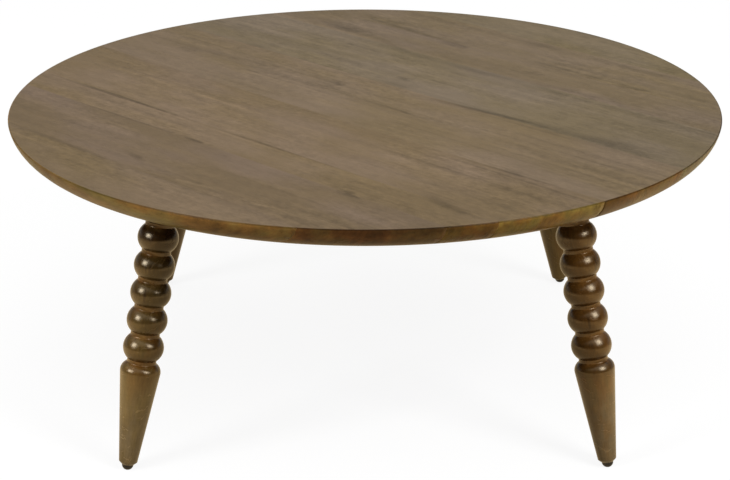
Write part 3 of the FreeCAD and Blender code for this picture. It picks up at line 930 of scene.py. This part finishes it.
def glide_tree():
    """Geometry tree of a domed glide with a rolled lip, flattened where it stands on the floor."""
    bench, size = shape_tree("domed_glide", GLIDE_INPUTS)
    steps, ring_steps = 14, 64
    lip, lip_round = 0.0012, 0.0004
    index = bench.made("GeometryNodeInputIndex")
    share = bench.math("MINIMUM", index / steps, 1.0)
    rim = size["Diameter"] * 0.5
    rise = size["Height"] + size["Flattening"] - lip
    sphere = (rim * rim + rise * rise) / (rise * 2.0)
    angle = bench.math("ARCSINE", rim / sphere) * (share * 0.995 + 0.005)
    is_lip = bench.math("GREATER_THAN", index, steps + 0.5)
    radius = sphere * bench.math("SINE", angle)
    height = sphere - sphere * bench.math("COSINE", angle) - size["Flattening"] + is_lip * lip
    lip_ease = bench.math("GREATER_THAN", index, steps - 0.5) * lip_round
    rows = turning_rows(bench, steps + 2, radius, height, lip_ease)
    shape = set_on_leg(bench, turned_on_lathe(bench, rows, ring_steps), size)
    x, y, z = bench.parts(bench.made("GeometryNodeInputPosition"))
    flat = {"Geometry": shape, "Position": bench.joined(x, y, bench.math("MAXIMUM", z, 0.0))}
    return finished(bench, bench.made("GeometryNodeSetPosition", flat), size["Finish"])


SCREW_INPUTS = (
    ("Places", "Geometry"), ("Head Diameter", "Float"), ("Head Height", "Float"), ("Shank Diameter", "Float"),
    ("Length", "Float"), ("Crown", "Float"), ("Recess", "Vector"), ("Seed", "Int"), ("Finish", "Material"),
)


def screw_tree():
    """Geometry tree of a row of cross-recessed screws, each left at a turn of its own, with the points up."""
    bench, size = shape_tree("screw_row", SCREW_INPUTS)
    head = size["Head Diameter"] * 0.5
    shank = size["Shank Diameter"] * 0.5
    top = size["Crown"] + size["Head Height"]
    index = bench.made("GeometryNodeInputIndex")
    middle, point, point_length, brim = 0.00005, 0.0001, 0.005, 0.0002
    crown = size["Crown"]
    radii = [middle, head * 0.45, head * 0.78, head * 0.95, head, shank, shank, point]
    heights = [0.0, crown * 0.16, crown * 0.5, crown * 0.82, crown + brim, top]
    heights += [size["Length"] - point_length, size["Length"]]
    rows = turning_rows(bench, len(radii), bench.pick(index, radii), bench.pick(index, heights), 0.0)
    ring_steps = 32
    screw = turned_on_lathe(bench, rows, ring_steps)
    long, wide, deep = bench.parts(size["Recess"])
    bars = []
    for first, second in ((long, wide), (wide, long)):
        bar = bench.node("GeometryNodeMeshCube", {"Size": bench.joined(first, second, deep * 2.0)})
        bars.append(bench.read(bar))
    cutter = {"Mesh 1": screw, "Mesh 2": bars[0]}
    made = bench.node("GeometryNodeMeshBoolean", cutter, operation="DIFFERENCE", solver="EXACT")
    bench.feed(made.inputs["Mesh 2"], bars[1])
    seeds = {"Seed": size["Seed"], 2: 0.0, 3: math.pi / 2}
    turn = bench.made("FunctionNodeRandomValue", seeds, data_type="FLOAT", output=1)
    points = bench.made("GeometryNodeMeshToPoints", {"Mesh": size["Places"]})
    spread = {"Points": points, "Instance": bench.read(made), "Rotation": euler(bench, z=turn)}
    screws = bench.made("GeometryNodeInstanceOnPoints", spread)
    return finished(bench, screws, size["Finish"])


def linked(name, mesh):
    """New object at the origin."""
    piece = bpy.data.objects.new(name, mesh)
    bpy.context.scene.collection.objects.link(piece)
    return piece


def grown(name, tree, values, places=()):
    """Plain mesh piece from one run of a geometry tree."""
    start = bpy.data.meshes.new(name + "_places")
    start.from_pydata([tuple(place) for place in places], [], [])
    piece = linked(name, start)
    modifier = piece.modifiers.new("shape", "NODES")
    modifier.node_group = tree
    for socket in tree.interface.items_tree:
        if socket.in_out == "INPUT" and socket.name in values:
            modifier[socket.identifier] = values[socket.name]
    depsgraph = bpy.context.evaluated_depsgraph_get()
    evaluated = piece.evaluated_get(depsgraph)
    mesh = bpy.data.meshes.new_from_object(evaluated, preserve_all_data_layers=True, depsgraph=depsgraph)
    piece.modifiers.remove(modifier)
    piece.data = mesh
    bpy.data.meshes.remove(start)
    if not mesh.polygons:
        raise RuntimeError(f"{name} came out of its geometry tree empty")
    outward(mesh)
    mesh.set_sharp_from_angle(angle=TURNING_SHARP)
    return piece


def outward(mesh):
    """Turns a closed mesh's faces outwards."""
    shell = bmesh.new()
    shell.from_mesh(mesh)
    bmesh.ops.remove_doubles(shell, verts=shell.verts[:], dist=1e-7)
    bmesh.ops.recalc_face_normals(shell, faces=shell.faces[:])
    shell.to_mesh(mesh)
    shell.free()


def settled(piece, slot, *nodes):
    """Sets a finished piece on the frame in place of CAD nodes."""
    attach(piece, "root")
    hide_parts(*nodes)


def foot_radius(leg, top):
    """How far from the table's axis the middle of a foot stands."""
    return top.radius - leg.foot_inset


def flange_underside(hardware, top):
    """Height of the underside of the leg plates' flanges."""
    return top.underside - hardware.flange_thickness


def leg_end(leg, hardware, top):
    """Place of a leg's upper end along the leg's own axis, measured from the floor."""
    boss_height = hardware.boss_least_height + hardware.boss_diameter / 2 * math.tan(leg.splay)
    return flange_underside(hardware, top) / math.cos(leg.splay) - boss_height


def arc_points(middle, radius, first, last, steps):
    """Radius and height pairs along an arc, both ends included."""
    points = []
    for step in range(steps + 1):
        angle = first + (last - first) * step / steps
        points.append((middle[0] + radius * math.cos(angle), middle[1] + radius * math.sin(angle)))
    return points


def top_outline(top):
    """Radius and height pairs of the top's edge, from the underside round to the face."""
    rise = top.height - top.arris - top.underside
    reach = math.sqrt(top.undercut ** 2 - (top.undercut - rise) ** 2)
    sweep_middle = (top.radius - reach, top.underside + top.undercut)
    sweep_end = math.atan2(rise - top.undercut, reach)
    sweep_steps, arris_steps = 12, 4
    sweep = arc_points(sweep_middle, top.undercut, -math.pi / 2, sweep_end, sweep_steps)
    arris_middle = (top.radius - top.arris, top.height - top.arris)
    arris = arc_points(arris_middle, top.arris, 0.0, math.pi / 2, arris_steps)
    return sweep + arris[1:]


def whole_top(top):
    """The top before it is divided into boards."""
    disc = bmesh.new()
    rings = []
    for radius, height in top_outline(top):
        turns = [2 * math.pi * step / top.rim_steps for step in range(top.rim_steps)]
        rings.append([disc.verts.new((radius * math.cos(a), radius * math.sin(a), height)) for a in turns])
    for lower, upper in zip(rings, rings[1:]):
        for here in range(top.rim_steps):
            after = (here + 1) % top.rim_steps
            disc.faces.new((lower[here], lower[after], upper[after], upper[here])).smooth = True
    disc.faces.new(rings[0][::-1])
    disc.faces.new(rings[-1])
    return disc


def board_mesh(name, disc, low, high, top):
    """One board of the top, between two places across the grain."""
    board = disc.copy()
    outermost = top.radius - MILLIMETRE
    for place, side in ((low, -1.0), (high, 1.0)):
        if abs(place) > outermost:
            continue
        parts = board.verts[:] + board.edges[:] + board.faces[:]
        cut = bmesh.ops.bisect_plane(
            board, geom=parts, plane_co=ACROSS * place, plane_no=ACROSS * side, clear_outer=True)
        rim = [part for part in cut["geom_cut"] if isinstance(part, bmesh.types.BMEdge)]
        bmesh.ops.edgenet_fill(board, edges=rim)
    bmesh.ops.recalc_face_normals(board, faces=board.faces[:])
    mesh = bpy.data.meshes.new(name)
    board.to_mesh(mesh)
    board.free()
    return mesh


def colour_board(mesh, number, tone, left_end, right_end):
    """Gives a board its tones, its stretch of grain, and which of its faces are rim or underside."""
    tones = mesh.attributes.new("board_tone", "FLOAT_COLOR", "POINT")
    tones.data.foreach_set("color", opaque(paint(*tone)) * len(mesh.vertices))
    ends = mesh.attributes.new("end_tone", "FLOAT_COLOR", "POINT")
    front = [corner.co.x for corner in mesh.vertices if corner.co.y < 0.0] or [0.0, 1.0]
    left, right = min(front), max(front)
    change_from, change_width = 0.2, 0.3
    for corner in mesh.vertices:
        share = (corner.co.x - left) / (right - left)
        share = min(max((share - change_from) / change_width, 0.0), 1.0)
        blend = [first + (second - first) * share for first, second in zip(left_end, right_end)]
        ends.data[corner.index].color = opaque(paint(*blend))
    shift = mesh.attributes.new("board_shift", "FLOAT_VECTOR", "POINT")
    shift.data.foreach_set("vector", [number * step for step in BOARD_SHIFT] * len(mesh.vertices))
    rim = mesh.attributes.new("rim_part", "FLOAT", "FACE")
    under = mesh.attributes.new("under_part", "FLOAT", "FACE")
    flat_from = 0.9999
    for face in mesh.polygons:
        flat = abs(face.normal.z) > flat_from
        under.data[face.index].value = float(flat and face.normal.z < 0)
        rim.data[face.index].value = float(not flat)


def eased_copy(name, node, ease, material):
    """Copy of a CAD node's shape with its sharp edges rounded over."""
    shell = bmesh.new()
    shell.from_mesh(frame["nodes"][node].data)
    bmesh.ops.remove_doubles(shell, verts=shell.verts[:], dist=1e-6)
    bmesh.ops.dissolve_limit(shell, angle_limit=math.radians(0.5), verts=shell.verts[:], edges=shell.edges[:])
    sharp = [e for e in shell.edges if len(e.link_faces) == 2 and e.calc_face_angle() > EASED_FROM]
    bmesh.ops.bevel(shell, geom=sharp, offset=ease, offset_type="OFFSET", segments=2, profile=0.5,
                    affect="EDGES", clamp_overlap=True)
    bmesh.ops.triangulate(shell, faces=[f for f in shell.faces if len(f.verts) > 4])
    for face in shell.faces:
        face.smooth = True
    mesh = bpy.data.meshes.new(name)
    shell.to_mesh(mesh)
    shell.free()
    mesh.set_sharp_from_angle(angle=PRESSING_SHARP)
    mesh.materials.append(material)
    return linked(name, mesh)


def turned_place(turn, x, y, height):
    """Place in the table's frame of a point that is given in a frame turned about the upright axis."""
    flat = Matrix.Rotation(turn, 3, "Z") @ Vector((x, y, 0.0))
    return flat.x, flat.y, height


def batten_screw_places(hardware, height):
    """Places of the screws under the middle of each board that a batten crosses."""
    places = []
    for node, side in BATTEN_SIDES.items():
        low, high = board_reach(node)
        limit = (high - low) / 2 - hardware.batten_end_gap
        for board, *_ in BOARDS[1:-1]:
            middle = sum(board_reach(board)) / 2
            if abs(middle) < limit:
                places.append(turned_place(GRAIN_TURN, side * hardware.batten_offset, middle, height))
    return places


def plate_screw_places(leg, hardware, top):
    """Places of the screws at the corners of each leg plate."""
    height = flange_underside(hardware, top)
    radius = foot_radius(leg, top) - height * math.tan(leg.splay)
    offset = (hardware.boss_diameter / 2 + hardware.plate_screw_gap + hardware.plate_head / 2) / math.sqrt(2)
    places = []
    for turn, *_ in LEGS.values():
        for x, y in ((1, 1), (-1, 1), (-1, -1), (1, -1)):
            places.append(turned_place(math.radians(turn), radius + x * offset, y * offset, height))
    return places


class TABLE_OT_planks(bpy.types.Operator):
    """Makes the nine boards of the top"""

    bl_idname = "table.planks"
    bl_label = "Planks"

    def execute(self, context):
        top = context.scene.table_top
        material = plank_wood(top)
        disc = whole_top(top)
        for number, (node, *tones) in enumerate(BOARDS, 1):
            low, high = board_reach(node)
            mesh = board_mesh(node + "_board", disc, low, high, top)
            colour_board(mesh, number, *tones)
            mesh.materials.append(material)
            settled(linked(node + "_board", mesh), "plank_wood", node)
        disc.free()
        return {"FINISHED"}


class TABLE_OT_legs(bpy.types.Operator):
    """Makes the four turned legs"""

    bl_idname = "table.legs"
    bl_label = "Legs"

    def execute(self, context):
        leg, hardware, top = context.scene.table_legs, context.scene.table_hardware, context.scene.table_top
        tree = leg_tree()
        values = {
            "Splay": leg.splay, "Foot Radius": foot_radius(leg, top), "Bead Count": leg.bead_count,
            "Bead Steps": 18, "Ring Steps": 96, "Bead Diameter": leg.bead_diameter,
            "Bead Pitch": leg.bead_pitch, "Neck Diameter": leg.neck_diameter, "Neck Length": leg.neck_length,
            "Top Bead Rise": leg.top_bead_rise, "Shoulder Diameter": leg.shoulder_diameter,
            "Shoulder Length": leg.shoulder_length, "Foot Diameter": leg.foot_diameter,
            "Foot Chamfer": leg.foot_chamfer, "End Diameter": hardware.glide_diameter,
            "Leg Bottom": hardware.glide_height, "Leg Top": leg_end(leg, hardware, top),
            "Corner Ease": leg.corner_ease, "Hand": leg.hand, "Finish": leg_wood(leg),
        }
        for number, (corner, (turn, *looks)) in enumerate(LEGS.items(), 1):
            values.update(zip(LEG_LOOKS, looks))
            values["Turn"] = math.radians(turn)
            values["Seed"] = number
            values["Grain Shift"] = [number * step for step in LEG_SHIFT]
            settled(grown(f"leg_{corner}_turning", tree, values), "leg_wood", f"leg_{corner}")
        return {"FINISHED"}


class TABLE_OT_glides(bpy.types.Operator):
    """Makes the four domed glides under the feet"""

    bl_idname = "table.glides"
    bl_label = "Glides"

    def execute(self, context):
        leg, hardware, top = context.scene.table_legs, context.scene.table_hardware, context.scene.table_top
        tree = glide_tree()
        values = {
            "Splay": leg.splay, "Foot Radius": foot_radius(leg, top), "Diameter": hardware.glide_diameter,
            "Height": hardware.glide_height, "Flattening": hardware.glide_flattening,
            "Finish": glide_plastic(),
        }
        for corner, (turn, *_) in LEGS.items():
            values["Turn"] = math.radians(turn)
            settled(grown(f"glide_{corner}_dome", tree, values), "glide_plastic", f"glide_{corner}")
        return {"FINISHED"}


class TABLE_OT_plates(bpy.types.Operator):
    """Makes the leg plates"""

    bl_idname = "table.plates"
    bl_label = "Leg plates"

    def execute(self, context):
        hardware = context.scene.table_hardware
        material = plated_steel("plate_steel", paint(150, 150, 146), paint(172, 170, 162), 0.36)
        for corner in LEGS:
            node = f"leg_plate_{corner}"
            settled(eased_copy(node + "_pressing", node, hardware.ease, material), "plate_steel", node)
        return {"FINISHED"}


class TABLE_OT_battens(bpy.types.Operator):
    """Makes the two battens under the top"""

    bl_idname = "table.battens"
    bl_label = "Battens"

    def execute(self, context):
        hardware = context.scene.table_hardware
        material = batten_wood()
        for node in BATTEN_SIDES:
            settled(eased_copy(node + "_bar", node, hardware.ease, material), "batten_wood", node)
        return {"FINISHED"}


class TABLE_OT_fasteners(bpy.types.Operator):
    """Makes the screws, and gives the hidden bolts and nails their steel"""

    bl_idname = "table.fasteners"
    bl_label = "Fasteners"

    def execute(self, context):
        leg, hardware, top = context.scene.table_legs, context.scene.table_hardware, context.scene.table_top
        material = plated_steel("fastener_steel", paint(168, 160, 138), paint(190, 180, 150), 0.30)
        tree = screw_tree()
        tip = top.height - hardware.screw_cover
        flush_crown, pan_brim = 0.0001, 0.0004
        plate_low = flange_underside(hardware, top)
        batten_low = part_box("batten_left")[0].z + hardware.counterbore - hardware.batten_head_height
        values = {
            "Head Diameter": hardware.plate_head, "Shank Diameter": hardware.plate_shank,
            "Crown": flush_crown, "Head Height": (hardware.plate_head - hardware.plate_shank) / 2,
            "Length": tip - plate_low, "Recess": tuple(hardware.recess), "Seed": 3, "Finish": material,
        }
        plate_places = plate_screw_places(leg, hardware, top)
        settled(grown("plate_screw_row", tree, values, plate_places), "fastener_steel", "plate_screws")
        values.update({
            "Head Diameter": hardware.batten_head, "Shank Diameter": hardware.batten_shank,
            "Crown": hardware.batten_head_height - pan_brim, "Head Height": pan_brim,
            "Length": tip - batten_low, "Seed": 5,
        })
        batten_places = batten_screw_places(hardware, batten_low)
        settled(grown("batten_screw_row", tree, values, batten_places), "fastener_steel", "batten_screws")
        for node in ("hanger_bolts", "glide_nails"):
            mesh = frame["nodes"][node].data
            mesh.materials.clear()
            mesh.materials.append(material)
        return {"FINISHED"}


def studio_floor(stage):
    """White floor that keeps a soft shadow and that a camera below it sees through.

    The lacquer shows it warmer, with a brighter pool beside the front legs, and darker far off to the sides.
    """
    material = bpy.data.materials.new("studio_floor")
    bench = fresh_bench(material)
    rays = bench.node("ShaderNodeLightPath")
    shiny = bench.read(rays, "Is Glossy Ray")
    seen = bench.math("MAXIMUM", bench.read(rays, "Is Camera Ray"), shiny)
    seen = bench.math("MAXIMUM", seen, bench.read(rays, "Is Transmission Ray"))
    glow = stage.floor_glow
    side, depth, _ = bench.parts(object_place(bench))
    aside = bench.math("ABSOLUTE", side)
    pool_gain, far_share = 0.9, 0.5
    pool = 1.0 + bench.ramp(aside, 0.34, 0.58, 0.0, pool_gain) * bench.ramp(depth, 0.20, -0.05)
    pool = pool * bench.ramp(aside, 1.0, 2.0, 1.0, far_share)
    level = glow - shiny * (glow - pool * stage.floor_gloss)
    tint = bench.blend(shiny, WHITE, opaque(stage.floor_warmth))
    white = bench.node("ShaderNodeEmission", {"Color": tint, "Strength": level})
    shadow_depth, bounce_share = 1.3, 0.18
    keeps_shadow = bench.node("ShaderNodeBsdfDiffuse", {"Color": grey((1.0 - glow) * shadow_depth)})
    shown = bench.node("ShaderNodeAddShader", {0: bench.read(white), 1: bench.read(keeps_shadow)})
    bounce = bench.node("ShaderNodeBsdfDiffuse", {"Color": grey(bounce_share)})
    lit = bench.node("ShaderNodeMixShader", {0: seen, 1: bench.read(bounce), 2: bench.read(shown)})
    clear = bench.node("ShaderNodeBsdfTransparent")
    behind = bench.made("ShaderNodeNewGeometry", output="Backfacing")
    both = bench.node("ShaderNodeMixShader", {0: behind, 1: bench.read(lit), 2: bench.read(clear)})
    bench.node("ShaderNodeOutputMaterial", {"Surface": bench.read(both)})
    return material


def studio_world(stage):
    """Soft light from above, and a white wall behind the table that shows in its gloss."""
    world = bpy.data.worlds.new("studio")
    bench = fresh_bench(world)
    rays = bench.node("ShaderNodeLightPath")
    _, depth, height = bench.parts(bench.made("ShaderNodeTexCoord", output="Generated"))
    soft = bench.ramp(height, 0.35, 0.95, stage.side_level, stage.overhead_level)
    wall_dark, wall_bright, wall_top_share = 0.03, 0.55, 0.40
    wall = bench.ramp(depth, -0.25, 0.55, wall_dark, wall_bright)
    wall = wall * bench.ramp(height, 0.04, 0.22, 1.0, wall_top_share)
    wall = bench.math("MAXIMUM", wall, soft)
    level = soft + (wall - soft) * bench.read(rays, "Is Glossy Ray")
    seen = bench.math("MAXIMUM", bench.read(rays, "Is Camera Ray"), bench.read(rays, "Is Transmission Ray"))
    level = level + (1.0 - level) * seen
    light = bench.node("ShaderNodeBackground", {"Color": WHITE, "Strength": level})
    bench.node("ShaderNodeOutputWorld", {"Surface": bench.read(light)})
    return world


def soft_lamp(name, place, aim, size, level, gloss_only=False):
    """Rectangular soft lamp that faces a point, or the paler edge of one that only shows in the gloss."""
    light = bpy.data.lights.new(name, "AREA")
    light.shape = "RECTANGLE"
    light.size, light.size_y = size
    light.energy = level
    lamp = linked(name, light)
    lamp.location = place
    lamp.rotation_euler = (Vector(aim) - Vector(place)).to_track_quat("-Z", "Y").to_euler()
    lamp.visible_camera = False
    lamp.visible_diffuse = not gloss_only
    return lamp


def shaded_from(lamp, *pieces):
    """Keeps a lamp's light off some pieces, as a flag on a stand would."""
    flag = bpy.data.collections.new(lamp.name + "_flag")
    for number, piece in enumerate(pieces):
        flag.objects.link(bpy.data.objects[piece])
        flag.collection_objects[number].light_linking.link_state = "EXCLUDE"
    lamp.light_linking.receiver_collection = flag


class TABLE_OT_stage(bpy.types.Operator):
    """Makes the floor, the studio light and the camera"""

    bl_idname = "table.stage"
    bl_label = "Stage"

    def execute(self, context):
        stage = context.scene.table_stage
        floor_reach = 14.0
        ground = bpy.data.meshes.new("studio_floor")
        corners = [(x * floor_reach, y * floor_reach, 0.0) for x, y in ((-1, -1), (1, -1), (1, 1), (-1, 1))]
        ground.from_pydata(corners, [], [(0, 1, 2, 3)])
        ground.materials.append(studio_floor(stage))
        linked("studio_floor", ground)
        context.scene.world = studio_world(stage)
        levels = {"left_lamp": stage.left_level, "right_lamp": stage.right_level}
        for name, (place, aim, size, edge_size, edge_share) in LAMPS.items():
            lamp = soft_lamp(name, place, aim, size, levels[name])
            edge = soft_lamp(name + "_edge", place, aim, edge_size, levels[name] * edge_share, True)
            if KEPT_OFF[name]:
                shaded_from(lamp, *KEPT_OFF[name])
                shaded_from(edge, *KEPT_OFF[name])
        view = bpy.data.cameras.new("photo_view")
        view.lens = stage.lens
        view.sensor_width = 36.0
        view.clip_end = 100.0
        camera = linked("photo_view", view)
        facing = Matrix.Rotation(-stage.camera_turn, 3, "Z")
        camera.location = facing @ Vector((0.0, -stage.camera_distance, stage.camera_height))
        camera.rotation_euler = (math.pi / 2 - stage.camera_pitch, 0.0, -stage.camera_turn)
        context.scene.camera = camera
        context.scene.view_settings.view_transform = "Standard"
        return {"FINISHED"}


class TABLE_PT_pieces(bpy.types.Panel):
    """Lists the pieces of the table with their sizes"""

    bl_idname = "TABLE_PT_pieces"
    bl_label = "Round cocktail table"
    bl_space_type = "VIEW_3D"
    bl_region_type = "UI"
    bl_category = "Table"

    def draw(self, context):
        for operator in OPERATORS:
            self.layout.operator(operator.bl_idname)
        for holder, group in GROUPS.items():
            box = self.layout.box()
            box.label(text=group.__doc__)
            for name in group.__annotations__:
                box.prop(getattr(context.scene, holder), name)


GROUPS = {
    "table_top": TopSizes, "table_legs": LegSizes, "table_hardware": HardwareSizes, "table_stage": StageSizes}
OPERATORS = (
    TABLE_OT_planks, TABLE_OT_legs, TABLE_OT_glides, TABLE_OT_plates, TABLE_OT_battens, TABLE_OT_fasteners,
    TABLE_OT_stage)


def register():
    """Registers the sizes, the operators and the panel."""
    for name, group in GROUPS.items():
        bpy.utils.register_class(group)
        setattr(bpy.types.Scene, name, PointerProperty(type=group))
    for kind in (*OPERATORS, TABLE_PT_pieces):
        bpy.utils.register_class(kind)


def unregister():
    """Takes back what register set up."""
    for kind in (TABLE_PT_pieces, *reversed(OPERATORS)):
        bpy.utils.unregister_class(kind)
    for name, group in reversed(list(GROUPS.items())):
        delattr(bpy.types.Scene, name)
        bpy.utils.unregister_class(group)


def main():
    register()
    bpy.ops.table.planks()
    bpy.ops.table.legs()
    bpy.ops.table.glides()
    bpy.ops.table.plates()
    bpy.ops.table.battens()
    bpy.ops.table.fasteners()
    bpy.ops.table.stage()


if __name__ == "__main__":
    main()
